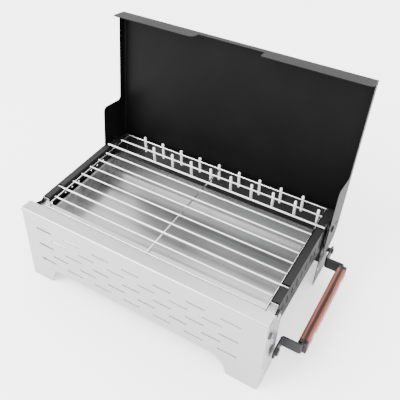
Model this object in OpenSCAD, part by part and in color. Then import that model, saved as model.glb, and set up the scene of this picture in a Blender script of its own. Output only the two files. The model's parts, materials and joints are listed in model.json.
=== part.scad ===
// Folding camp grill: a charcoal tray between two vented side panels, on two
// leg panels that fold under it, with a lid that opens backwards, a lift-off
// wire grate with hanging pegs, and a carrying handle that braces the legs.
// Millimetres. X runs along the front panel, Y from front to rear, Z up.

/* [Body] */
// Width of the front leg panel over its side flanges
body_w = 400; // [380:5:420]
// Height of the side rails above the ground
rail_z = 125; // [123:1:127]
// Height of the side panels' lower edge above the ground
side_low_z = 79; // [78:1:84]
// Thickness of the sheet metal
sheet = 1; // [0.8:0.1:1]

/* [Legs] */
// How far the leg panels lean, feet forward, in degrees
leg_lean = 4.9; // [4:0.1:6]
// Height of the leg pivots above the ground
pivot_z = 109; // [108:0.5:110]
// Front leg: distance from its outer face to its pivot
front_face_d = 38; // [37.5:0.5:39]
// Rear leg: distance from its outer face to its pivot
rear_face_d = 36; // [35:0.5:36]
// Distance between the front and the rear pivots
pivot_span = 180; // [178:1:184]
// Width of the legs' side flanges
leg_flange_w = 46.5; // [44:0.5:48]
// Width of the rear leg's side flanges
rear_flange_w = 51; // [48:0.5:52]
// Outside radius of a fold in the sheet metal
bend_r = 3.2; // [2:0.1:3.5]
// Length of an air slot in the front panel
slot_len = 29.4; // [24:0.2:34]
// Height of an air slot
slot_h = 3.4; // [2:0.1:4]

/* [Lid] */
// How far the open lid leans back, in degrees
lid_tilt = 8.6; // [7:0.1:10]
// Distance from the lid's outer face to its pivot
lid_face_d = 38.2; // [38:0.1:40]
// Length of the lid above its pivot
lid_len = 220; // [219:1:226]
// Depth of the lid's side flanges near the pivot
lid_wide = 57.6; // [54:0.1:58]
// Depth of the lid's side flanges along their upper part
lid_narrow = 14; // [12:1:18]
// Depth of the lid's top flange
lid_top_d = 30.5; // [26:0.5:31]

/* [Grate] */
// Number of wires that run the width of the grate
wire_n = 11; // [11:1:11]
// Distance between those wires
wire_pitch = 20.9; // [20.4:0.1:20.9]
// Diameter of a grate wire
wire_d = 2.1; // [1.8:0.1:3]
// Number of hanging pegs in each of the two rows
peg_n = 9; // [6:1:9]
// Diameter of a peg
peg_d = 4.2; // [3.4:0.1:4.2]

/* [Handle] */
// Height of the flat handle bar
bar_h = 21; // [18:1:22]
// Thickness of the handle bar
bar_t = 2.5; // [2:0.1:3]
// How far the handle's grip stands off its feet
handle_out = 30.3; // [26:0.1:32]
// Height of the handle's middle above the ground
handle_z = 39.5; // [38:0.5:42]
// Thickness of each wooden half-grip
grip_t = 5.5; // [5:0.5:7]

/* [Hidden] */
$fn = 40;

stainless = [0.78, 0.78, 0.79];
black = [0.12, 0.12, 0.12];
steel = [0.6, 0.6, 0.62];
wood = [0.5, 0.24, 0.18];
nudge = 0.3;

// Stack of sheets outward from the middle: side panel, rear flange, front flange, lid
half_w = body_w / 2;
side_x = half_w - 3.8;
rear_leg_x = half_w - 2;
lid_x = half_w + 2.3;
bar_x = half_w + 3;

// The two pivot axes
front_y = front_face_d * cos(leg_lean) - 21 * sin(leg_lean);
rear_y = front_y + pivot_span;

// Leg panels, measured from their pivots along the leaning panel
front_top = 21;
front_foot = (pivot_z + front_face_d * sin(leg_lean)) / cos(leg_lean);
rear_top = 6;
rear_foot = (pivot_z - rear_face_d * sin(leg_lean)) / cos(leg_lean);
foot_spare = 4;
arch_h = 30;
slot_rows = 5;
slot_pitch_x = 51.7;
slot_shift = -4;
slot_pitch_z = 15.2;
first_slot_z = -5.3;
top_flange_w = 20;

// Side panel
rail_w = 10.6;
rail_y0 = front_y + 7;
rail_y1 = rear_y - 25;
ledge_z = 118;
ledge_x = side_x - 16;
ear_r = 10;
notch_w = 5;
louvre_n = 9;
louvre_pitch = 16;

// Tray
tray_x = half_w - 23;
tray_shift = 2.5;
tray_y0 = front_y - 10;
tray_y1 = rear_y - 17;
tray_top_z = 112;
tray_wall = 0.8;

// Grate
grate_x = 182;
frame_d = 2.3;
stay_d = 2.7;
grate_y0 = front_y - 4.6;
frame_z = ledge_z + nudge + frame_d / 2;
wire_z = frame_z + (frame_d + wire_d) / 2 + 0.02;
stay_z = wire_z + (stay_d - wire_d) / 2;
notch_wire = 2;
overhang_wires = [2, 8];
overhang_x = half_w - 5;
peg_pitch = 36.6;
rear_peg_shift = -3.3;
front_peg_shift = 29.3;
front_peg_top = 129.5;
front_peg_bottom = 92;
rear_peg_top = 124.8;
rear_peg_bottom = 93;

// Handle
handle_y0 = 21;
front_bend_y = 50;
rear_bend_y = 214;
handle_y1 = 246.5;
handle_pivot_y = 236;
stud_z = handle_z + 4;
thumb_y = 31.5;
grip_y0 = 55;
grip_y1 = 209;
ferrule_len = 6;
bar_outer_x = bar_x + handle_out;

// Where the model's own origin lies: the middle of its box, on the ground
x_max = bar_outer_x + grip_t + 1.2;
x_min = -(lid_x + 2.6);
y_min = front_y - front_face_d * cos(leg_lean) - front_foot * sin(leg_lean);
y_max = rear_y + (lid_face_d - bend_r) * cos(lid_tilt) + (lid_len - bend_r) * sin(lid_tilt) + bend_r;
origin_x = (x_max + x_min) / 2;
origin_y = (y_max + y_min) / 2;

// A plate in a plane of constant X, outline in (y, z), from x towards +X
module plate_x(x, t) {
    translate([x, 0, 0]) rotate([90, 0, 90]) linear_extrude(t) children();
}

// The same outline as a pair of plates, mirrored to both sides of the grill
module both_sides() {
    children();
    mirror([1, 0, 0]) children();
}

// A rod along X, its axis at (y, z), from x0 to x1
module rod_x(x0, x1, y, z, r) {
    translate([x0, y, z]) rotate([0, 90, 0]) cylinder(h = x1 - x0, r = r);
}

// A tube along X, such as a washer or a spacer
module tube_x(x0, x1, y, z, r, bore_r) {
    difference() {
        rod_x(x0, x1, y, z, r);
        rod_x(x0 - 1, x1 + 1, y, z, bore_r);
    }
}

// A slot with round ends, its length along the outline's first axis
module slot2d(len, h) {
    square([len - h, h], center = true);
    for (s = [-1, 1]) translate([s * (len - h) / 2, 0]) circle(d = h);
}

// A rectangle with round corners, from its low corner
module round_rect(w, h, r) {
    translate([r, 0]) square([w - 2 * r, h]);
    translate([0, r]) square([w, h - 2 * r]);
    for (x = [r, w - r]) for (y = [r, h - r]) translate([x, y]) circle(r = r);
}

// What is left of a square corner outside a round of radius r
module corner_waste(r) {
    difference() {
        square(r);
        translate([r, r]) circle(r = r);
    }
}

// Quarter of a folded sheet, seen along the fold: from -y round to +x
module bend2d() {
    difference() {
        intersection() {
            circle(r = bend_r);
            translate([0, -bend_r]) square(bend_r);
        }
        circle(r = bend_r - sheet);
    }
}

// Upright sheet at y = -face_d with both side folds turning towards +y
module folded_face(half, face_d, z0, z1, fold_z1) {
    translate([-half + bend_r, -face_d, z0]) cube([2 * (half - bend_r), sheet, z1 - z0]);
    translate([0, 0, z0]) linear_extrude(fold_z1 - z0)
        for (s = [0, 1]) mirror([s, 0]) translate([half - bend_r, bend_r - face_d]) bend2d();
}

// Flange along the top of such a sheet, its fold included
module top_fold(half, face_d, top) {
    plate_x(-half, 2 * half) translate([bend_r - face_d, top - bend_r]) rotate(180) bend2d();
}

// Everything below the ground, to cut the leaning feet level
module ground() {
    translate([-2 * body_w, -2 * body_w, -50]) cube([4 * body_w, 4 * body_w, 50]);
}

module at_front_leg() {
    difference() {
        translate([0, front_y, pivot_z]) rotate([-leg_lean, 0, 0]) children();
        ground();
    }
}

module at_rear_leg() {
    difference() {
        translate([0, rear_y, pivot_z]) rotate([-leg_lean, 0, 0]) children();
        ground();
    }
}

// ---- Body ----

module side_outline() {
    difference() {
        union() {
            translate([rail_y0, side_low_z]) square([rail_y1 - rail_y0, rail_z - side_low_z]);
            polygon([
                [rail_y0 - 1, rail_z], [front_y - 7, pivot_z + 7], [front_y - 12, side_low_z],
                [rail_y0 + 1, side_low_z]
            ]);
            translate([front_y, pivot_z]) circle(r = ear_r);
            polygon([
                [rail_y1 - 1, rail_z - 5], [rear_y + 6, pivot_z + 8], [rear_y + 8, pivot_z],
                [rear_y - 4, side_low_z + 6], [rail_y1 - 1, side_low_z]
            ]);
            translate([rear_y, pivot_z]) circle(r = ear_r);
        }
        translate([front_y, pivot_z]) circle(r = 2);
        translate([rear_y, pivot_z]) circle(r = 2.5);
        for (i = [0 : louvre_n - 1])
            translate([(rail_y0 + rail_y1) / 2 + (i - (louvre_n - 1) / 2) * louvre_pitch, 105])
                rotate(90) slot2d(15, 3);
    }
}

// Plates that carry the rail, the grate's ledge and the lip under the tray
module side_panel() {
    rail_len = rail_y1 - rail_y0;
    plate_x(side_x - sheet, sheet) side_outline();
    difference() {
        translate([side_x - rail_w, rail_y0, rail_z - sheet]) cube([rail_w - sheet / 2, rail_len, sheet]);
        for (i = overhang_wires)
            translate([side_x - rail_w - 1, grate_y0 + i * wire_pitch - notch_w / 2, rail_z - 5])
                cube([rail_w + 2, notch_w, 10]);
    }
    difference() {
        translate([side_x - rail_w, rail_y0, ledge_z - sheet]) cube([sheet, rail_len, rail_z - ledge_z + sheet]);
        for (i = overhang_wires)
            translate([side_x - rail_w - 1, grate_y0 + i * wire_pitch - notch_w / 2, rail_z - 5])
                cube([rail_w + 2, notch_w, 10]);
    }
    translate([ledge_x, rail_y0, ledge_z - sheet]) cube([side_x - rail_w - ledge_x + sheet, rail_len, sheet]);
    translate([tray_x - 8, rail_y0 + 10, side_low_z]) cube([side_x - sheet / 2 - tray_x + 8, rail_len - 30, sheet]);
}

module right_side_panel() {
    color(black) side_panel();
}

module left_side_panel() {
    color(black) mirror([1, 0, 0]) side_panel();
}

// Angle strip between the side panels, with end tabs that are riveted on
module cross_rail(y, dir, lip) {
    low_z = side_low_z + 4;
    rail_top = 116;
    rail_x = side_x - sheet - 0.1;
    translate([-rail_x, y, low_z]) cube([2 * rail_x, sheet, rail_top - low_z]);
    translate([-rail_x, min(y, y + dir * lip), rail_top - sheet]) cube([2 * rail_x, lip + sheet, sheet]);
    for (s = [-1, 1])
        translate([s > 0 ? rail_x - sheet : -rail_x, min(y, y + dir * 12), low_z])
            cube([sheet, 12 + sheet, 10]);
}

// Its upturned ends close the open fronts of the two rails
module front_cross_rail() {
    color(stainless) {
        cross_rail(front_y - 13, 1, 17);
        both_sides() translate([grate_x + 2.2, front_y + 4, 115])
            cube([side_x - sheet - 0.1 - grate_x - 2.2, sheet, rail_z - 0.5 - 115]);
    }
}

module rear_cross_rail() {
    color(black) cross_rail(rear_y - 10, -1, 4);
}

module rail_rivets() {
    color(steel) both_sides()
        for (y = [front_y - 6, rear_y - 17]) {
            translate([side_x, y, side_low_z + 9]) rotate([0, 90, 0]) cylinder(h = 0.5, r1 = 2.6, r2 = 1.8);
            rod_x(side_x - 2.9, side_x - 2.1, y, side_low_z + 9, 2.4);
        }
}

// Open trough with sloping front and rear walls, and a rim turned outwards
module tray_profile(grow) {
    polygon([
        [tray_y0 + 12 - grow, side_low_z + sheet + tray_wall - grow],
        [tray_y1 - 12 + grow, side_low_z + sheet + tray_wall - grow],
        [tray_y1 - 2 + grow, tray_top_z],
        [tray_y0 + 2 - grow, tray_top_z]
    ]);
}

module charcoal_tray() {
    color(stainless) translate([tray_shift, 0, 0]) {
        difference() {
            plate_x(-tray_x, 2 * tray_x) tray_profile(tray_wall);
            plate_x(-tray_x + tray_wall, 2 * (tray_x - tray_wall)) tray_profile(0);
            translate([-tray_x - 1, tray_y0 - 5, tray_top_z - 0.01]) cube([2 * tray_x + 2, 250, 5]);
        }
        for (s = [-1, 1])
            translate([s > 0 ? tray_x - 0.2 : -tray_x - 3, tray_y0 + 4, tray_top_z - tray_wall])
                cube([3.2, tray_y1 - tray_y0 - 8, tray_wall]);
    }
}

// ---- Pivots ----

module front_pivot_screws() {
    color(steel) both_sides() {
        rod_x(side_x - sheet - 1.6, half_w + 0.2, front_y, pivot_z, 2);
        translate([half_w - sheet + 0.1, front_y, pivot_z]) rotate([0, 90, 0]) cylinder(h = 1.8, r1 = 4.6, r2 = 3.4);
        rod_x(side_x - sheet - 2.6, side_x - sheet, front_y, pivot_z, 4);
    }
}

module front_pivot_spacers() {
    color(steel) both_sides() tube_x(side_x, half_w - 2 * sheet - 0.1, front_y, pivot_z, 4, 2);
}

module lid_pivot_bolts() {
    color(steel) both_sides() {
        rod_x(side_x - sheet - 4, lid_x + 0.2, rear_y, pivot_z, 2.5);
        rod_x(lid_x + 0.1, lid_x + 1.4, rear_y, pivot_z, 5);
        translate([lid_x + 1.3, rear_y, pivot_z]) rotate([0, 90, 0]) cylinder(h = 1.3, r1 = 5, r2 = 3);
    }
}

module lid_pivot_nuts() {
    color(steel) both_sides()
        difference() {
            translate([side_x - sheet - 3.4, rear_y, pivot_z]) rotate([0, 90, 0]) cylinder(h = 3.4, r = 4.6, $fn = 6);
            rod_x(side_x - sheet - 4, side_x, rear_y, pivot_z, 2.5);
        }
}

module lid_pivot_spacers() {
    color(steel) both_sides() {
        tube_x(side_x, rear_leg_x - sheet - 0.1, rear_y, pivot_z, 5, 2.5);
        tube_x(rear_leg_x + 0.1, lid_x - sheet - 0.1, rear_y, pivot_z, 4.5, 2.5);
    }
}

// ---- Grate ----

module grate_frame() {
    depth = (wire_n - 1) * wire_pitch;
    r = frame_d / 2;
    color(stainless) {
        for (y = [grate_y0, grate_y0 + depth])
            rod_x(-grate_x - r, grate_x + r, y, frame_z, r);
        for (s = [-1, 1])
            translate([s * grate_x, grate_y0, frame_z]) rotate([-90, 0, 0]) cylinder(h = depth, r = r - 0.1);
    }
}

module grate_wires() {
    color(stainless)
        for (i = [1 : wire_n - 2])
            if (len(search(i, overhang_wires)) == 0)
                rod_x(-grate_x - 1, grate_x + 1, grate_y0 + i * wire_pitch, wire_z, wire_d / 2);
}

// Two thicker wires that reach over the side rails and carry the grate
module grate_rest_wires() {
    color(stainless)
        for (i = overhang_wires)
            rod_x(-overhang_x, overhang_x, grate_y0 + i * wire_pitch, stay_z, stay_d / 2);
}

module grate_crossbar() {
    r = 1.2;
    gap = frame_d / 2 + 0.05;
    color(steel) translate([0, grate_y0 + gap, wire_z - wire_d / 2 - r - 0.02]) rotate([-90, 0, 0])
        cylinder(h = (wire_n - 1) * wire_pitch - 2 * gap, r = r);
}

module peg(x, y, low, high) {
    r = peg_d / 2;
    translate([x, y, low + r]) cylinder(h = high - low - 2 * r, r = r);
    for (z = [low + r, high - r]) translate([x, y, z]) sphere(r = r);
}

module front_pegs() {
    y = grate_y0 + (wire_n - 2) * wire_pitch + (wire_d + peg_d) / 2 + 0.02;
    color("white") for (i = [0 : peg_n - 1])
        peg((i - (peg_n - 1) / 2) * peg_pitch + front_peg_shift, y, front_peg_bottom, front_peg_top);
}

module rear_pegs() {
    y = grate_y0 + (wire_n - 1) * wire_pitch + (frame_d + peg_d) / 2 + 0.02;
    color("white") for (i = [0 : peg_n - 1])
        peg((i - (peg_n - 1) / 2) * peg_pitch + rear_peg_shift, y, rear_peg_bottom, rear_peg_top);
}

// ---- Front leg, drawn about its pivot with the panel upright ----

// Opening between the feet: a tight round on the left, a flared one on the right
module arch2d(half) {
    left = -half + 40;
    right = half - 49;
    slant = 11;
    difference() {
        polygon([
            [left - 2, -foot_spare], [left, 0], [left + slant, arch_h],
            [right, arch_h], [right, -foot_spare]
        ]);
        translate([left + 8, arch_h]) mirror([0, 1]) corner_waste(9);
        translate([right, arch_h]) mirror([1, 0]) mirror([0, 1]) corner_waste(29);
    }
    translate([right + 6, 0]) mirror([1, 0]) corner_waste_flare(6);
    translate([left - 5, 0]) corner_waste_flare(6);
}

// A flare of radius r where a side of the opening meets the ground
module corner_waste_flare(r) {
    difference() {
        translate([0, -foot_spare]) square([r + 1, r + foot_spare]);
        translate([0, r]) circle(r = r);
        translate([-1, r]) square([r + 4, r]);
    }
}

module slots2d() {
    for (row = [0 : slot_rows - 1]) {
        count = row % 2 == 0 ? 7 : 6;
        for (i = [0 : count - 1])
            translate([(i - (count - 1) / 2) * slot_pitch_x + slot_shift, first_slot_z - row * slot_pitch_z])
                slot2d(slot_len, slot_h);
    }
}

module front_flange_outline() {
    inner = leg_flange_w - front_face_d;
    low = -front_foot - foot_spare;
    fold = bend_r - front_face_d;
    polygon([
        [fold - 0.1, low], [inner, low], [inner, -15], [-12, 11.5],
        [-14, front_top - bend_r - 0.6], [fold - 0.1, front_top - bend_r - 0.6]
    ]);
}

module front_leg_shell() {
    difference() {
        folded_face(half_w, front_face_d, -front_foot - foot_spare, front_top - bend_r,
            front_top - bend_r - 0.6);
        translate([0, 5 - front_face_d, 0]) rotate([90, 0, 0]) linear_extrude(10) {
            translate([0, -front_foot]) arch2d(half_w);
            slots2d();
        }
    }
    top_fold(half_w, front_face_d, front_top);
    translate([-half_w, bend_r - front_face_d, front_top - sheet]) cube([body_w, top_flange_w - bend_r, sheet]);
    both_sides() plate_x(half_w - sheet, sheet) difference() {
        front_flange_outline();
        circle(r = 5);
    }
}

module front_leg_panel() {
    color(stainless) at_front_leg() difference() {
        front_leg_shell();
        plate_x(half_w - 5, 10) {
            translate([-22.5, -13]) rotate(-50) slot2d(27, 10);
            translate([-6.2, -68.8]) rotate(90) slot2d(12, 3.2);
            translate([-6.3, -90.9]) circle(r = 1.7);
            translate([0.6, -69.2]) circle(r = 2.4);
        }
    }
}

// Plates welded inside the side flanges; their ears carry the leg on its pivots
module front_hinge_plates() {
    color(black) at_front_leg() both_sides()
        difference() {
            plate_x(half_w - 2 * sheet, sheet) {
                circle(r = 9.5);
                polygon([[-34, -34], [2, -34], [9.5, 0], [0, 9.4], [-18, 14], [-34, 14]]);
            }
            rod_x(half_w - 5, half_w + 5, 0, 0, 2.08);
        }
}

// Leaf spring below the window, with a raised pad that presses on the handle's foot
module latch_spring() {
    color("silver") at_front_leg() {
        plate_x(half_w, 0.5) translate([-18.5, -43]) round_rect(8, 18, 2.5);
        plate_x(half_w + 0.5, 1.2) translate([-17.5, -36]) round_rect(6, 7, 2);
    }
}

module latch_button() {
    color(black) at_front_leg() {
        translate([half_w, -10.5, -53.5]) rotate([0, 90, 0]) cylinder(h = 2.6, r1 = 6.6, r2 = 5.4);
    }
}

module front_foot_rivets() {
    color(steel) at_front_leg() both_sides()
        for (p = [[-27, -82], [-29, -90]])
            translate([half_w, p[0], p[1]]) rotate([0, 90, 0]) cylinder(h = 0.6, r1 = 1.8, r2 = 1.2);
}

// ---- Rear leg ----

module rear_flange_outline() {
    inner = rear_face_d - rear_flange_w;
    low = -rear_foot - foot_spare;
    fold = rear_face_d - bend_r;
    polygon([
        [fold + 0.1, low], [inner, low], [inner, -12], [-8, -2], [-7, 6],
        [5, 8], [fold + 0.1, rear_top]
    ]);
    circle(r = 9);
}

module rear_leg_panel() {
    low = -rear_foot - foot_spare;
    color(black) at_rear_leg() {
        difference() {
            mirror([0, 1, 0]) folded_face(rear_leg_x, rear_face_d, low, rear_top, rear_top);
            translate([0, rear_face_d + 5, 0]) rotate([90, 0, 0]) linear_extrude(10)
                translate([0, -rear_foot]) arch2d(rear_leg_x);
        }
        both_sides() difference() {
            plate_x(rear_leg_x - sheet, sheet) rear_flange_outline();
            rod_x(rear_leg_x - 5, rear_leg_x + 5, 0, 0, 2.58);
        }
    }
}

// Small studs near the feet that find the front leg when both are folded
module foot_studs() {
    color(steel) at_rear_leg() both_sides()
        translate([rear_leg_x, rear_face_d - rear_flange_w + 5, -rear_foot + 28]) rotate([0, 90, 0])
            cylinder(h = 0.7, r1 = 2.4, r2 = 1.6);
}

// The handle's own pivot, a stud welded to the right rear flange
module handle_pivot_stud() {
    color(steel) rod_x(rear_leg_x, bar_x + bar_t + 2.6, handle_pivot_y, stud_z, 2.5);
}

module handle_pivot_spacer() {
    color(steel) tube_x(rear_leg_x, bar_x - 0.1, handle_pivot_y, stud_z, 3.8, 2.5);
}

module handle_pivot_nut() {
    color(steel) difference() {
        translate([bar_x + bar_t + 0.1, handle_pivot_y, stud_z]) rotate([0, 90, 0])
            cylinder(h = 2.2, r = 4.4, $fn = 6);
        rod_x(bar_x, bar_x + 10, handle_pivot_y, stud_z, 2.5);
    }
}

// ---- Lid, drawn about its pivot with the sheet upright at +Y ----

module lid_flange_outline() {
    step = 76;
    low = -42;
    wide = lid_face_d - lid_wide;
    narrow = lid_face_d - lid_narrow;
    fold = bend_r - 0.1;
    difference() {
        union() {
            translate([wide, low]) square([lid_wide - fold, step - low]);
            translate([narrow, low]) square([lid_narrow - fold, lid_len - bend_r - 0.6 - low]);
            translate([narrow - 6, step]) difference() {
                square([6.1, 6]);
                translate([0, 6]) circle(r = 6);
            }
        }
        translate([wide, low]) corner_waste(20);
        translate([lid_face_d - fold, low]) mirror([1, 0]) corner_waste(28);
        translate([wide, step]) mirror([0, 1]) corner_waste(8);
        translate([0, 0]) circle(r = 2.58);
        translate([17, 2]) slot2d(12, 3.4);
    }
}

// Top flange in plan: shallower along a notch near the middle, round at its right end
module lid_top_outline() {
    notch_x0 = -60;
    notch_x1 = 46;
    shallow = 13.5;
    difference() {
        translate([-lid_x, lid_face_d - lid_top_d]) square([2 * lid_x, lid_top_d - bend_r]);
        translate([notch_x0, lid_face_d - lid_top_d - 1])
            square([notch_x1 - notch_x0, lid_top_d - shallow + 1]);
        translate([notch_x0, lid_face_d - lid_top_d]) mirror([1, 0]) corner_waste_round(9);
        translate([notch_x1, lid_face_d - lid_top_d]) corner_waste_round(5);
        for (s = [-1, 1]) translate([s * lid_x, lid_face_d - lid_top_d])
            mirror([s > 0 ? 1 : 0, 0]) corner_waste(5);
    }
}

module corner_waste_round(r) {
    difference() {
        translate([-1, -1]) square([r + 1, r + 1]);
        translate([r, r]) circle(r = r);
    }
}

module lid_shell() {
    sheet_low = -7;
    color(black) translate([0, rear_y, pivot_z]) rotate([-lid_tilt, 0, 0]) {
        mirror([0, 1, 0]) folded_face(lid_x, lid_face_d, sheet_low, lid_len - bend_r, lid_len - bend_r - 0.6);
        mirror([0, 1, 0]) top_fold(lid_x, lid_face_d, lid_len);
        translate([0, 0, lid_len - sheet]) linear_extrude(sheet) lid_top_outline();
        both_sides() plate_x(lid_x - sheet, sheet) lid_flange_outline();
    }
}

// ---- Handle ----

// A bend of the flat bar, from the direction of one flat to the next
module bar_bend(x, y, turn) {
    r = 4;
    translate([x, y, handle_z - bar_h / 2]) rotate([0, 0, turn])
        rotate_extrude(angle = 90) translate([r - bar_t, 0]) square([bar_t, bar_h]);
}

module bar_flat(x0, x1, y0, y1) {
    translate([x0, y0, handle_z - bar_h / 2]) cube([x1 - x0, y1 - y0, bar_h]);
}

module handle_bar() {
    r = 4;
    in = r - bar_t;
    color([0.3, 0.3, 0.32]) difference() {
        union() {
            bar_flat(bar_x, bar_x + bar_t, handle_y0 + bar_h / 2, front_bend_y - in);
            bar_flat(bar_x, bar_x + bar_t, rear_bend_y + in, handle_y1 - bar_h / 2);
            for (y = [handle_y0 + bar_h / 2, handle_y1 - bar_h / 2])
                rod_x(bar_x, bar_x + bar_t, y, handle_z, bar_h / 2);
            bar_bend(bar_x + r, front_bend_y - in, 90);
            bar_bend(bar_x + r, rear_bend_y + in, 180);
            bar_flat(bar_x + r, bar_outer_x - r, front_bend_y - in + r - bar_t, front_bend_y - in + r);
            bar_flat(bar_x + r, bar_outer_x - r, rear_bend_y + in - r, rear_bend_y + in - r + bar_t);
            bar_bend(bar_outer_x - r, front_bend_y - in + 2 * r - bar_t, -90);
            bar_bend(bar_outer_x - r, rear_bend_y + in - 2 * r + bar_t, 0);
            bar_flat(bar_outer_x - bar_t, bar_outer_x,
                front_bend_y - in + 2 * r - bar_t, rear_bend_y + in - 2 * r + bar_t);
        }
        rod_x(bar_x - 1, bar_x + bar_t + 1, handle_pivot_y, stud_z, 2.58);
        rod_x(bar_x - 1, bar_x + bar_t + 1, thumb_y, handle_z, 2.58);
    }
}

// Half-grip: a long wooden slab with rounded long edges
module half_grip(x0) {
    h = bar_h + 2;
    r = 2.4;
    translate([x0, grip_y1 - ferrule_len, handle_z - h / 2]) rotate([90, 0, 0])
        linear_extrude(grip_y1 - grip_y0 - 2 * ferrule_len) round_rect(grip_t, h, r);
}

module inner_grip() {
    color(wood) half_grip(bar_outer_x - bar_t - grip_t);
}

module outer_grip() {
    color(wood) half_grip(bar_outer_x);
}

// Dark end pieces of both half-grips
module grip_ferrules() {
    h = bar_h + 2;
    color([0.08, 0.06, 0.06])
        for (x0 = [bar_outer_x - bar_t - grip_t, bar_outer_x]) for (y = [grip_y0 + ferrule_len, grip_y1])
            translate([x0, y, handle_z - h / 2]) rotate([90, 0, 0])
                linear_extrude(ferrule_len) round_rect(grip_t, h, 2.4);
}

module grip_rivets() {
    color(steel) for (y = [grip_y0 + 26, grip_y1 - 26])
        for (s = [-1, 1]) {
            x = s > 0 ? bar_outer_x + grip_t : bar_outer_x - bar_t - grip_t;
            translate([x, y, handle_z]) rotate([0, s * 90, 0]) cylinder(h = 1.2, r1 = 4, r2 = 2.6);
        }
}

// Captive screw in the handle's front foot, drawn backed out of the leg
module thumb_screw() {
    head_x = bar_x + bar_t;
    color(black) {
        rod_x(bar_x, head_x + 0.5, thumb_y, handle_z, 2.5);
        difference() {
            rod_x(head_x, head_x + 3, thumb_y, handle_z, 5.5);
            for (i = [0 : 11])
                rod_x(bar_x, bar_x + 20, thumb_y + 6.3 * cos(30 * i), handle_z + 6.3 * sin(30 * i), 1.3);
        }
    }
}

translate([-origin_x, -origin_y, 0]) {
    left_side_panel();
    right_side_panel();
    front_cross_rail();
    rear_cross_rail();
    charcoal_tray();
    rail_rivets();
    front_pivot_screws();
    front_pivot_spacers();
    front_hinge_plates();
    lid_pivot_bolts();
    lid_pivot_nuts();
    lid_pivot_spacers();
    grate_frame();
    grate_wires();
    grate_rest_wires();
    grate_crossbar();
    front_pegs();
    rear_pegs();
    front_leg_panel();
    latch_spring();
    latch_button();
    front_foot_rivets();
    rear_leg_panel();
    foot_studs();
    handle_pivot_stud();
    handle_pivot_spacer();
    handle_pivot_nut();
    lid_shell();
    handle_bar();
    inner_grip();
    outer_grip();
    grip_ferrules();
    grip_rivets();
    thumb_screw();
}
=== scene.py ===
# %% [markdown]
# # A folding camp grill, dressed for the studio
# The CAD model arrives as the frame: every panel, wire and rivet already has its
# real size and place. This lesson gives the parts their finishes, rebuilds the
# repeated wires, pegs and rivets with Geometry Nodes, and lights the grill.

# %% Load the frame
import json
import math

import bmesh
import bpy
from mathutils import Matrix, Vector


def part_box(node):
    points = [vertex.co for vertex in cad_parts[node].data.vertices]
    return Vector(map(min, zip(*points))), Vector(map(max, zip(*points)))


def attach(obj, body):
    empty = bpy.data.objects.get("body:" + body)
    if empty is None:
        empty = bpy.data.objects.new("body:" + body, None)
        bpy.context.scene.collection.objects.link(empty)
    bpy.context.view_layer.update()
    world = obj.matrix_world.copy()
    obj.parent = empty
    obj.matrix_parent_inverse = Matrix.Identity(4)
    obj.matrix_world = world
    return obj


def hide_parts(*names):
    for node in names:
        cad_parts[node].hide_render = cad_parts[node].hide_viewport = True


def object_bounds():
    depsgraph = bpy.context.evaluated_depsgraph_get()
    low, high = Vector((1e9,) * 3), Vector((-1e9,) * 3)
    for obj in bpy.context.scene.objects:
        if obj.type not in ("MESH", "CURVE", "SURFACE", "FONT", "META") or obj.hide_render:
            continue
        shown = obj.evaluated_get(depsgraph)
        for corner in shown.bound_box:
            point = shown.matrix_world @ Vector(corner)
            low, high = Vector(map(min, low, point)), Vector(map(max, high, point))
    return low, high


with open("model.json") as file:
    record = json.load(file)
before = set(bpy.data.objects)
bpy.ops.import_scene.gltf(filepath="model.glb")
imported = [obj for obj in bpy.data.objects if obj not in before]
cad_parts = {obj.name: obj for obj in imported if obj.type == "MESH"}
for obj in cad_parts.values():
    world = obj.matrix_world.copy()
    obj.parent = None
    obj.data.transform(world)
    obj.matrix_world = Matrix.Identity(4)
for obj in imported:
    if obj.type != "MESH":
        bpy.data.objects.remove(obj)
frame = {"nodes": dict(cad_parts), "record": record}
start_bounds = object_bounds()
nodes = frame["nodes"]

MM = 0.001
ROUND_SIDES = 24  # corners round every wire, peg and rivet head


# %% [markdown]
# ## Building materials in code
# A material is a small graph. These helpers add a node, link two sockets and make
# a Principled shader, so that each finish below reads as a short recipe.

# %% Material helpers
def add_node(tree, kind, **settings):
    made = tree.nodes.new(kind)
    for key, value in settings.items():
        setattr(made, key, value)
    return made


def new_material(name, color, roughness, metallic=0.0):
    material = bpy.data.materials.new(name)
    material.use_nodes = True
    shader = material.node_tree.nodes["Principled BSDF"]
    shader.inputs["Base Color"].default_value = (*color, 1.0)
    shader.inputs["Roughness"].default_value = roughness
    shader.inputs["Metallic"].default_value = metallic
    material.diffuse_color = (*color, 1.0)
    return material, material.node_tree, shader


def object_noise(tree, scale, stretch=(1, 1, 1), detail=4.0):
    """Noise on the object's own coordinates, stretched along chosen axes."""
    coords = add_node(tree, "ShaderNodeTexCoord")
    mapping = add_node(tree, "ShaderNodeMapping")
    mapping.inputs["Scale"].default_value = stretch
    noise = add_node(tree, "ShaderNodeTexNoise")
    noise.inputs["Scale"].default_value = scale
    noise.inputs["Detail"].default_value = detail
    tree.links.new(coords.outputs["Object"], mapping.inputs["Vector"])
    tree.links.new(mapping.outputs["Vector"], noise.inputs["Vector"])
    return noise.outputs["Fac"]


def ramp(tree, source, stops):
    """Maps a 0-1 value to colours: stops are (place, colour) pairs."""
    made = add_node(tree, "ShaderNodeValToRGB")
    elements = made.color_ramp.elements
    while len(elements) < len(stops):
        elements.new(0.5)
    for element, (place, color) in zip(elements, stops):
        element.position = place
        element.color = (*color, 1.0)
    tree.links.new(source, made.inputs["Fac"])
    return made.outputs["Color"]


def spread(tree, source, low, high):
    """Maps a 0-1 value to the range low..high."""
    made = add_node(tree, "ShaderNodeMapRange")
    made.inputs["To Min"].default_value = low
    made.inputs["To Max"].default_value = high
    tree.links.new(source, made.inputs["Value"])
    return made.outputs["Result"]


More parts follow.
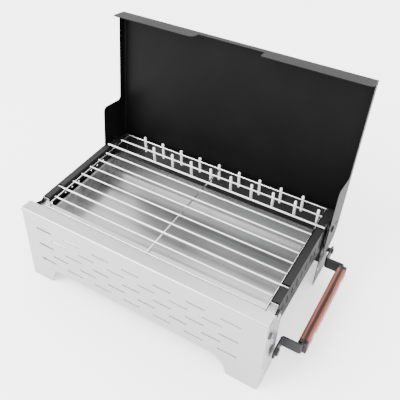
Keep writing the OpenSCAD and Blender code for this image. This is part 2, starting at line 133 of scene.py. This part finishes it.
def bump(tree, shader, source, strength, distance):
    made = add_node(tree, "ShaderNodeBump")
    made.inputs["Strength"].default_value = strength
    made.inputs["Distance"].default_value = distance
    tree.links.new(source, made.inputs["Height"])
    tree.links.new(made.outputs["Normal"], shader.inputs["Normal"])


# %% [markdown]
# ## The finishes
# A real sheet-metal grill is mostly two finishes: bare stainless with a rolled
# grain, and a dark coat. Rolled sheet scatters light along one direction, so its
# grain is noise stretched along X. The same noise drives the roughness, because
# the eye reads brushed metal from how the highlight breaks up, not from its colour.

# %% Rolled stainless sheet
def rolled_steel(name, color, roughness, stretch, contrast=0.06, relief=0.05):
    material, tree, shader = new_material(name, color, roughness, metallic=1.0)
    grain = object_noise(tree, 55.0, stretch=stretch, detail=7.0)
    clouds = object_noise(tree, 6.0, stretch=(1, 1.5, 2), detail=2.0)
    dark = tuple((1 - contrast) * c for c in color)
    tree.links.new(ramp(tree, grain, [(0.32, dark), (0.68, color)]), shader.inputs["Base Color"])
    mixed = add_node(tree, "ShaderNodeMath", operation="ADD")
    tree.links.new(spread(tree, grain, roughness - 0.03, roughness + 0.05), mixed.inputs[0])
    tree.links.new(spread(tree, clouds, -0.04, 0.04), mixed.inputs[1])
    tree.links.new(mixed.outputs["Value"], shader.inputs["Roughness"])
    bump(tree, shader, grain, relief, 0.0002)
    return material


panel_steel = rolled_steel("Rolled stainless panel", (0.42, 0.42, 0.423), 0.36, (0.5, 26, 26))
tray_steel = rolled_steel("Bright stainless tray", (0.45, 0.45, 0.453), 0.28, (0.04, 1.2, 1.2), 0.5, 0.0)
print("sheet finishes:", panel_steel.name, "and", tray_steel.name)


# %% [markdown]
# Powder coat is a thin plastic skin: slightly uneven, with a faint orange peel.
# Its edges wear first. Pointiness would need a dense mesh, so the wear here is a
# broad noise that lightens a few patches and makes them a little rougher.

# %% Dark coat
def dark_coat(name, color, roughness, worn, gloss=0.35):
    material, tree, shader = new_material(name, color, roughness)
    shader.inputs["Specular IOR Level"].default_value = gloss
    peel = object_noise(tree, 700.0, detail=2.0)
    patches = object_noise(tree, 14.0, detail=5.0)
    stops = [(0.42, color), (0.66, worn)]
    tree.links.new(ramp(tree, patches, stops), shader.inputs["Base Color"])
    tree.links.new(spread(tree, patches, roughness - 0.05, roughness + 0.08), shader.inputs["Roughness"])
    bump(tree, shader, peel, 0.1, 0.0002)
    return material


rail_coat = dark_coat("Coated rails", (0.01, 0.01, 0.0105), 0.5, (0.016, 0.016, 0.017), 0.1)
leg_coat = dark_coat("Coated rear leg", (0.004, 0.004, 0.0043), 0.4, (0.007, 0.007, 0.0075), 0.2)
# The lid's coat is the same black coat, painted darker: painted shade for the lid's shaded inside.
shade_darkened_lid_coat = dark_coat("Coated lid darkened for shade", (0.0022, 0.0022, 0.0024), 0.42, (0.003, 0.003, 0.0033), 0.06)
print("coats:", rail_coat.name, leg_coat.name, shade_darkened_lid_coat.name)


# %% [markdown]
# The grips are two hardwood slats. Wood grain runs along the slat, so the noise is
# stretched along Y. Two noises at different sizes give the streaks and the pores.

# %% Hardwood and its dark ends
def hardwood(name, light, dark, roughness):
    material, tree, shader = new_material(name, light, roughness)
    shader.inputs["Coat Weight"].default_value = 0.05
    shader.inputs["Specular IOR Level"].default_value = 0.25
    shader.inputs["Coat Roughness"].default_value = 0.3
    grain = object_noise(tree, 34.0, stretch=(9, 0.5, 9), detail=9.0)
    pores = object_noise(tree, 260.0, stretch=(3, 0.16, 3), detail=3.0)
    middle = tuple((a + b) / 2 for a, b in zip(light, dark))
    tree.links.new(
        ramp(tree, grain, [(0.34, dark), (0.5, middle), (0.66, light)]), shader.inputs["Base Color"]
    )
    tree.links.new(spread(tree, pores, roughness - 0.08, roughness + 0.12), shader.inputs["Roughness"])
    bump(tree, shader, pores, 0.25, 0.0003)
    return material


grip_wood = hardwood("Oiled hardwood", (0.2, 0.052, 0.03), (0.08, 0.02, 0.013), 0.5)
# The grip ends take the wood recipe in a near-black colour.
near_black_grip_end = hardwood("Near-black grip ends", (0.014, 0.004, 0.005), (0.006, 0.002, 0.0025), 0.5)
print("woods:", grip_wood.name, "and", near_black_grip_end.name)


# %% [markdown]
# Small parts: plated fasteners, polished grate wire, bright pegs, and the dark
# handle bar share one recipe, with a fine noise in the roughness so that no
# highlight is perfectly even. The knob is moulded, and takes the coat's recipe.

# %% Fasteners, wire, pegs and bar
def plain_metal(name, color, roughness, metallic=1.0, scale=180.0, vary=0.06, gloss=0.5):
    material, tree, shader = new_material(name, color, roughness, metallic=metallic)
    shader.inputs["Specular IOR Level"].default_value = gloss
    spots = object_noise(tree, scale, detail=3.0)
    dark = tuple(0.9 * c for c in color)
    tree.links.new(ramp(tree, spots, [(0.3, dark), (0.7, color)]), shader.inputs["Base Color"])
    tree.links.new(spread(tree, spots, roughness - vary, roughness + vary), shader.inputs["Roughness"])
    return material


zinc = plain_metal("Zinc plating", (0.45, 0.45, 0.46), 0.24)
grate_steel = plain_metal("Polished wire", (0.6, 0.6, 0.6), 0.2)
peg_steel = plain_metal("Bright pegs", (0.98, 0.98, 0.98), 0.3, metallic=0.0)
bar_steel = plain_metal("Dark handle bar", (0.012, 0.012, 0.014), 0.5, metallic=0.0, gloss=0.2, scale=60.0)
knob_black = dark_coat("Black knob", (0.012, 0.011, 0.012), 0.5, (0.02, 0.018, 0.02))
print("small-part finishes:", [m.name for m in (zinc, grate_steel, peg_steel, bar_steel, knob_black)])

# %% [markdown]
# ## Which part gets which finish
# Every CAD part already carries the name of a material slot. Most parts take the
# finish of their slot. A few need their own: the tray is brighter than the panels,
# the lid's coat is painted darker than the rails' to stand in for the shade inside
# the lid, and the lid's bolts are blackened, not plated.

# %% Paint the CAD parts
BY_SLOT = {
    "stainless": panel_steel, "black_coat": leg_coat, "fastener_steel": zinc,
    "grate_wire": grate_steel, "peg_steel": peg_steel, "bar_steel": bar_steel,
    "wood": grip_wood, "dark_trim": knob_black,
}
BY_NODE = {
    "charcoal_tray": tray_steel, "lid_shell": shade_darkened_lid_coat, "left_side_panel": rail_coat,
    "right_side_panel": rail_coat, "grip_ferrules": near_black_grip_end,
    "front_hinge_plates": leg_coat, "lid_pivot_bolts": leg_coat, "lid_pivot_nuts": knob_black,
    "handle_pivot_nut": knob_black, "handle_pivot_stud": knob_black,
    "handle_pivot_spacer": knob_black,
}
slot_of = {part["node"]: part["material_slot"] for part in frame["record"]["subparts"]}
for name, piece in nodes.items():
    piece.data.materials.clear()
    piece.data.materials.append(BY_NODE.get(name, BY_SLOT[slot_of[name]]))
print("painted:", len(nodes), "nodes")


# %% [markdown]
# ## Softer edges on the folded sheet
# A pressed sheet never has a razor edge. A narrow bevel on the side panels, the
# cross rails and the handle bar catches a thin line of light along their edges. It
# is a modifier, so the CAD mesh below it stays as it came.

# %% Bevel the sheet edges
def soften(name, width, angle=50):
    edge = nodes[name].modifiers.new("edge", "BEVEL")
    edge.width = width
    edge.segments = 2
    edge.limit_method = "ANGLE"
    edge.angle_limit = math.radians(angle)
    edge.use_clamp_overlap = True
    edge.harden_normals = False


EDGE_WIDTH = 0.2 * MM
SHEETS = ["left_side_panel", "right_side_panel", "front_cross_rail", "rear_cross_rail", "handle_bar"]
for name in SHEETS:
    soften(name, EDGE_WIDTH)
print("softened:", SHEETS)


# %% [markdown]
# ## Geometry Nodes for what repeats
# The grate is one straight wire repeated at an even pitch, the pegs are one peg
# repeated along two wires, and every rivet is the same low dome. Each kind gets one
# small node tree: a line of points, one shape placed on each point, and a material.
# The sizes are named inputs, so the same tree serves several rows.

# %% Helpers for node trees
def new_tree(name, inputs):
    """A Geometry Nodes tree with named inputs; returns it with its input node."""
    tree = bpy.data.node_groups.new(name, "GeometryNodeTree")
    for label, kind in inputs.items():
        tree.interface.new_socket(label, in_out="INPUT", socket_type="NodeSocket" + kind)
    tree.interface.new_socket("Geometry", in_out="OUTPUT", socket_type="NodeSocketGeometry")
    return tree, tree.nodes.new("NodeGroupInput")


def wire_up(tree, pairs):
    for start, end in pairs:
        tree.links.new(start, end)


def vector_of(tree, **parts):
    made = tree.nodes.new("ShaderNodeCombineXYZ")
    for axis, source in parts.items():
        tree.links.new(source, made.inputs[axis.upper()])
    return made.outputs["Vector"]


def arithmetic(tree, operation, first, second):
    made = tree.nodes.new("ShaderNodeMath")
    made.operation = operation
    for socket, value in zip(made.inputs, (first, second)):
        if isinstance(value, (int, float)):
            socket.default_value = value
        else:
            tree.links.new(value, socket)
    return made.outputs["Value"]


def row_on_points(tree, given, shape):
    """Points from Start in steps of Step, shape on each, made real and painted."""
    line = tree.nodes.new("GeometryNodeMeshLine")
    line.mode = "OFFSET"
    place = tree.nodes.new("GeometryNodeInstanceOnPoints")
    real = tree.nodes.new("GeometryNodeRealizeInstances")
    paint = tree.nodes.new("GeometryNodeSetMaterial")
    out = tree.nodes.new("NodeGroupOutput")
    wire_up(tree, [
        (given.outputs["Count"], line.inputs["Count"]),
        (given.outputs["Start"], line.inputs["Start Location"]),
        (given.outputs["Step"], line.inputs["Offset"]),
        (line.outputs["Mesh"], place.inputs["Points"]),
        (shape, place.inputs["Instance"]),
        (place.outputs["Instances"], real.inputs["Geometry"]),
        (real.outputs["Geometry"], paint.inputs["Geometry"]),
        (given.outputs["Material"], paint.inputs["Material"]),
        (paint.outputs["Geometry"], out.inputs["Geometry"]),
    ])


ROW_INPUTS = {"Count": "Int", "Start": "Vector", "Step": "Vector", "Material": "Material"}


def bake(name, tree, **values):
    """Runs a tree on an empty mesh, sets its inputs by identifier, keeps a plain mesh."""
    carrier = bpy.data.objects.new(name + "_tree", bpy.data.meshes.new(name + "_tree"))
    bpy.context.scene.collection.objects.link(carrier)
    maker = carrier.modifiers.new("make", "NODES")
    maker.node_group = tree
    ids = {item.name: item.identifier for item in tree.interface.items_tree if item.in_out == "INPUT"}
    for label, value in values.items():
        maker[ids[label.replace("_", " ")]] = value
    bpy.context.view_layer.update()
    graph = bpy.context.evaluated_depsgraph_get()
    mesh = bpy.data.meshes.new_from_object(carrier.evaluated_get(graph))
    carrier.modifiers.remove(maker)
    bpy.data.objects.remove(carrier)
    mesh.name = name
    return mesh


def joined(name, meshes):
    """One object from several baked meshes, with its place in its mesh."""
    build = bmesh.new()
    for mesh in meshes:
        build.from_mesh(mesh)
    whole = bpy.data.meshes.new(name)
    build.to_mesh(whole)
    build.free()
    whole.materials.append(meshes[0].materials[0])
    for face in whole.polygons:
        face.material_index = 0
    made = bpy.data.objects.new(name, whole)
    bpy.context.scene.collection.objects.link(made)
    print(name, "has", len(whole.polygons), "faces")
    return made


# %% [markdown]
# The wire is a cylinder laid along X. Its sides shade smooth and its cut ends stay
# flat, with a small chamfer, as sheared wire has.

# %% The wire row tree
CHAMFER = 0.25  # share of the wire's radius that each end's chamfer takes off


def wire_tree():
    tree, given = new_tree("wire row", {**ROW_INPUTS, "Length": "Float", "Radius": "Float"})
    length, radius = given.outputs["Length"], given.outputs["Radius"]
    chamfer = arithmetic(tree, "MULTIPLY", radius, CHAMFER)
    body = tree.nodes.new("GeometryNodeMeshCylinder")
    body.inputs["Vertices"].default_value = ROUND_SIDES
    straight = arithmetic(tree, "SUBTRACT", length, arithmetic(tree, "MULTIPLY", chamfer, 2))
    wire_up(tree, [
        (radius, body.inputs["Radius"]),
        (straight, body.inputs["Depth"]),
    ])
    smooth = tree.nodes.new("GeometryNodeSetShadeSmooth")
    wire_up(tree, [
        (body.outputs["Mesh"], smooth.inputs["Geometry"]),
        (body.outputs["Side"], smooth.inputs["Selection"]),
    ])
    parts = tree.nodes.new("GeometryNodeJoinGeometry")
    tree.links.new(smooth.outputs["Geometry"], parts.inputs["Geometry"])
    half = arithmetic(tree, "MULTIPLY", length, 0.5)
    for side in (1, -1):
        tip = tree.nodes.new("GeometryNodeMeshCone")
        tip.inputs["Vertices"].default_value = ROUND_SIDES
        turn = tree.nodes.new("GeometryNodeTransform")
        turn.inputs["Rotation"].default_value = (0, 0 if side > 0 else math.pi, 0)
        start = arithmetic(tree, "MULTIPLY", arithmetic(tree, "SUBTRACT", half, chamfer), side)
        wire_up(tree, [
            (radius, tip.inputs["Radius Bottom"]),
            (arithmetic(tree, "MULTIPLY", radius, 1 - CHAMFER), tip.inputs["Radius Top"]),
            (chamfer, tip.inputs["Depth"]),
            (tip.outputs["Mesh"], turn.inputs["Geometry"]),
            (vector_of(tree, z=start), turn.inputs["Translation"]),
            (turn.outputs["Geometry"], parts.inputs["Geometry"]),
        ])
    lay = tree.nodes.new("GeometryNodeTransform")
    lay.inputs["Rotation"].default_value = (0, math.pi / 2, 0)
    tree.links.new(parts.outputs["Geometry"], lay.inputs["Geometry"])
    row_on_points(tree, given, lay.outputs["Geometry"])
    return tree


WIRE_ROW = wire_tree()


def row_in_box(node, count):
    """Start, step, length and radius of a row of X-wires that fills a CAD node's box."""
    low, high = (Vector(corner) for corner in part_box(node))
    middle, radius = (low + high) / 2, (high.z - low.z) / 2
    start = Vector((middle.x, low.y + radius, middle.z))
    step = Vector((0, (high.y - low.y - 2 * radius) / max(count - 1, 1), 0))
    return start, step, high.x - low.x, radius


# %% [markdown]
# The grate has nine places at one even pitch, counted from the front. Two thicker
# wires, at places 1 and 7, rest on the rails and carry the load. Thin wires take the
# other seven places, in three runs.

# %% Grate wires
REST_PLACES = (1, 7)
THIN_RUNS = [(1, 0), (5, 2), (1, 8)]  # how many wires, and the first one's place

rest_start, rest_step, rest_length, thick = row_in_box("grate_rest_wires", 2)
pitch = rest_step.y / (REST_PLACES[1] - REST_PLACES[0])
thin_start, _, thin_length, thin = row_in_box("grate_wires", 2)
rows = [
    bake(
        "thin_wires", WIRE_ROW, Count=count, Start=thin_start + Vector((0, first * pitch, 0)),
        Step=(0, pitch, 0), Length=thin_length, Radius=thin, Material=grate_steel,
    )
    for count, first in THIN_RUNS
]
thin_wires = joined("grate_wires_row", rows)
rest_mesh = bake(
    "rest_wires", WIRE_ROW, Count=2, Start=rest_start, Step=rest_step,
    Length=rest_length, Radius=thick, Material=grate_steel,
)
rest_wires = joined("grate_rest_wires_row", [rest_mesh])
print("wire pitch:", round(pitch / MM, 2), "mm")


# %% [markdown]
# A peg is a rod with round ends. Pulling the two halves of a sphere apart gives
# exactly that: with an odd number of rings no point lies on the equator, so the
# middle stays a true cylinder.

# %% The peg row tree
PEG_RINGS = 15  # odd, see above


def peg_tree():
    tree, given = new_tree("peg row", {**ROW_INPUTS, "Length": "Float", "Radius": "Float"})
    length, radius = given.outputs["Length"], given.outputs["Radius"]
    ball = tree.nodes.new("GeometryNodeMeshUVSphere")
    ball.inputs["Segments"].default_value = ROUND_SIDES
    ball.inputs["Rings"].default_value = PEG_RINGS
    tree.links.new(radius, ball.inputs["Radius"])
    place = tree.nodes.new("GeometryNodeInputPosition")
    height = tree.nodes.new("ShaderNodeSeparateXYZ")
    tree.links.new(place.outputs["Position"], height.inputs["Vector"])
    sign = arithmetic(tree, "SIGN", height.outputs["Z"], 0)
    reach = arithmetic(tree, "SUBTRACT", arithmetic(tree, "MULTIPLY", length, 0.5), radius)
    pull = tree.nodes.new("GeometryNodeSetPosition")
    smooth = tree.nodes.new("GeometryNodeSetShadeSmooth")
    wire_up(tree, [
        (ball.outputs["Mesh"], pull.inputs["Geometry"]),
        (vector_of(tree, z=arithmetic(tree, "MULTIPLY", sign, reach)), pull.inputs["Offset"]),
        (pull.outputs["Geometry"], smooth.inputs["Geometry"]),
    ])
    row_on_points(tree, given, smooth.outputs["Geometry"])
    return tree


PEG_ROW = peg_tree()
PEG_COUNT = 9


def peg_row(node):
    low, high = (Vector(corner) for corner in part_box(node))
    middle, radius = (low + high) / 2, (high.y - low.y) / 2
    step = (high.x - low.x - 2 * radius) / (PEG_COUNT - 1)
    mesh = bake(
        node, PEG_ROW, Count=PEG_COUNT, Start=(low.x + radius, middle.y, middle.z),
        Step=(step, 0, 0), Length=high.z - low.z, Radius=radius, Material=peg_steel,
    )
    return joined(node + "_row", [mesh])


# %% [markdown]
# Nine pegs are welded along each of two wires at the back. Their length, radius and
# pitch come from the CAD part's box, and only the count is set here.

# %% Two rows of pegs
front_pegs = peg_row("front_pegs")
rear_pegs = peg_row("rear_pegs")

# %% [markdown]
# ## Rivets
# A rivet's head is a low dome pressed against the sheet, here a flattened half
# ball. Each one is baked by itself, because the rivets on the grill's two sides
# face opposite ways.

# %% The rivet row tree
DOME_RINGS = 12
BELOW_RIM = -0.01  # on a ball of radius 1, keeps the rim and cuts what is under it


def rivet_tree():
    tree, given = new_tree(
        "rivet row", {**ROW_INPUTS, "Radius": "Float", "Height": "Float", "Side": "Float"}
    )
    ball = tree.nodes.new("GeometryNodeMeshUVSphere")
    ball.inputs["Segments"].default_value = ROUND_SIDES
    ball.inputs["Rings"].default_value = DOME_RINGS
    ball.inputs["Radius"].default_value = 1.0
    place = tree.nodes.new("GeometryNodeInputPosition")
    height = tree.nodes.new("ShaderNodeSeparateXYZ")
    wire_up(tree, [(place.outputs["Position"], height.inputs["Vector"])])
    under = arithmetic(tree, "LESS_THAN", height.outputs["Z"], BELOW_RIM)
    cut = tree.nodes.new("GeometryNodeDeleteGeometry")
    size = tree.nodes.new("GeometryNodeTransform")
    turn = tree.nodes.new("GeometryNodeTransform")
    smooth = tree.nodes.new("GeometryNodeSetShadeSmooth")
    angle = arithmetic(tree, "MULTIPLY", given.outputs["Side"], math.pi / 2)
    wire_up(tree, [
        (ball.outputs["Mesh"], cut.inputs["Geometry"]),
        (under, cut.inputs["Selection"]),
        (cut.outputs["Geometry"], size.inputs["Geometry"]),
        (vector_of(
            tree, x=given.outputs["Radius"], y=given.outputs["Radius"], z=given.outputs["Height"]
        ), size.inputs["Scale"]),
        (size.outputs["Geometry"], turn.inputs["Geometry"]),
        (vector_of(tree, y=angle), turn.inputs["Rotation"]),
        (turn.outputs["Geometry"], smooth.inputs["Geometry"]),
    ])
    row_on_points(tree, given, smooth.outputs["Geometry"])
    return tree


RIVET_ROW = rivet_tree()
SAME_PLACE = 1e-6


def loose_parts(node):
    """Boxes of a CAD node's separate solids, from its shared corners."""
    build = bmesh.new()
    build.from_mesh(nodes[node].data)
    bmesh.ops.remove_doubles(build, verts=build.verts, dist=SAME_PLACE)
    left, found = set(build.verts), []
    while left:
        stack, group = [left.pop()], []
        while stack:
            vert = stack.pop()
            group.append(vert.co.copy())
            for edge in vert.link_edges:
                other = edge.other_vert(vert)
                if other in left:
                    left.discard(other)
                    stack.append(other)
        low = Vector([min(co[axis] for co in group) for axis in range(3)])
        high = Vector([max(co[axis] for co in group) for axis in range(3)])
        found.append((low, high))
    build.free()
    return found


def rivets_for(node):
    """A dome for each solid of a rivet node, facing away from the middle of the grill."""
    centre = (start_bounds[0][0] + start_bounds[1][0]) / 2
    meshes = []
    for low, high in loose_parts(node):
        side = 1 if (low.x + high.x) / 2 > centre else -1
        middle = (low + high) / 2
        base = low.x if side > 0 else high.x
        meshes.append(bake(
            node, RIVET_ROW, Count=1, Start=(base, middle.y, middle.z), Step=(0, 0, 0),
            Radius=(high.y - low.y) / 2, Height=high.x - low.x, Side=float(side),
            Material=BY_SLOT[slot_of[node]],
        ))
    return joined(node + "_domes", meshes)


# %% Foot rivets and studs
foot_rivets = rivets_for("front_foot_rivets")
studs = rivets_for("foot_studs")

# %% [markdown]
# ## Put each new piece in its place
# A new piece hides the CAD node it stands for, and rides on the same body so that
# it moves with its joint.

# %% Ride and replace
NEW_PIECES = [
    (thin_wires, "grate_wires", "grate", "grate_wire"),
    (rest_wires, "grate_rest_wires", "grate", "grate_wire"),
    (front_pegs, "front_pegs", "grate", "peg_steel"),
    (rear_pegs, "rear_pegs", "grate", "peg_steel"),
    (foot_rivets, "front_foot_rivets", "front_leg", "fastener_steel"),
    (studs, "foot_studs", "rear_leg", "fastener_steel"),
]
for piece, node, body, slot in NEW_PIECES:
    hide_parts(node)
    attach(piece, body)
print("new pieces:", len(NEW_PIECES))

# %% [markdown]
# ## The studio
# A pale floor that runs into a pale world, with two large soft lights: a key from
# the front left, and a weaker one from behind. The floor glows a little by itself,
# which keeps it pale and the shadow under the feet soft.

# %% Floor, world and lights
FLOOR_GLOW = 0.7
WORLD_GLOW = 3.6
KEY_WATTS = 75
REAR_WATTS = 30


def area_light(name, place, aim, size, power):
    data = bpy.data.lights.new(name, "AREA")
    data.shape = "DISK"
    data.size = size
    data.energy = power
    lamp = bpy.data.objects.new(name, data)
    lamp.location = place
    lamp.rotation_euler = (Vector(aim) - Vector(place)).to_track_quat("-Z", "Y").to_euler()
    bpy.context.scene.collection.objects.link(lamp)


def studio_floor(half=8.0):
    mesh = bpy.data.meshes.new("floor")
    corners = [(-half, -half, 0), (half, -half, 0), (half, half, 0), (-half, half, 0)]
    mesh.from_pydata(corners, [], [(0, 1, 2, 3)])
    floor = bpy.data.objects.new("floor", mesh)
    bpy.context.scene.collection.objects.link(floor)
    material, _, shader = new_material("White floor", (0.9, 0.9, 0.9), 0.9)
    shader.inputs["Emission Color"].default_value = (1, 1, 1, 1)
    shader.inputs["Emission Strength"].default_value = FLOOR_GLOW
    shader.inputs["Specular IOR Level"].default_value = 0.1
    mesh.materials.append(material)


studio_floor()
world = bpy.data.worlds.new("Studio")
world.use_nodes = True
world.node_tree.nodes["Background"].inputs["Color"].default_value = (1, 1, 1, 1)
world.node_tree.nodes["Background"].inputs["Strength"].default_value = WORLD_GLOW
bpy.context.scene.world = world
middle = (start_bounds[0] + start_bounds[1]) / 2
area_light("key", (-0.9, -1.0, 1.6), middle, 1.4, KEY_WATTS)
area_light("rear", (0.3, 1.5, 1.7), middle, 1.8, REAR_WATTS)

# %% [markdown]
# ## The camera
# It stands to the right of the grill and looks down on it, as a person would.

# %% Place the camera
AZIMUTH = math.radians(30.81)
ELEVATION = math.radians(42.96)
FOCAL_LENGTH = 48.36
SENSOR_WIDTH = 36.0
EYE = Vector((0.29845, -0.49048, 0.6764))
forward = Vector((
    -math.sin(AZIMUTH) * math.cos(ELEVATION),
    math.cos(AZIMUTH) * math.cos(ELEVATION),
    -math.sin(ELEVATION),
))
lens = bpy.data.cameras.new("camera")
lens.lens = FOCAL_LENGTH
lens.sensor_width = SENSOR_WIDTH
lens.clip_start = 0.01
camera = bpy.data.objects.new("camera", lens)
camera.location = EYE
camera.rotation_euler = forward.to_track_quat("-Z", "Y").to_euler()
bpy.context.scene.collection.objects.link(camera)
bpy.context.scene.camera = camera
print("camera looks down", round(math.degrees(ELEVATION), 1), "degrees")
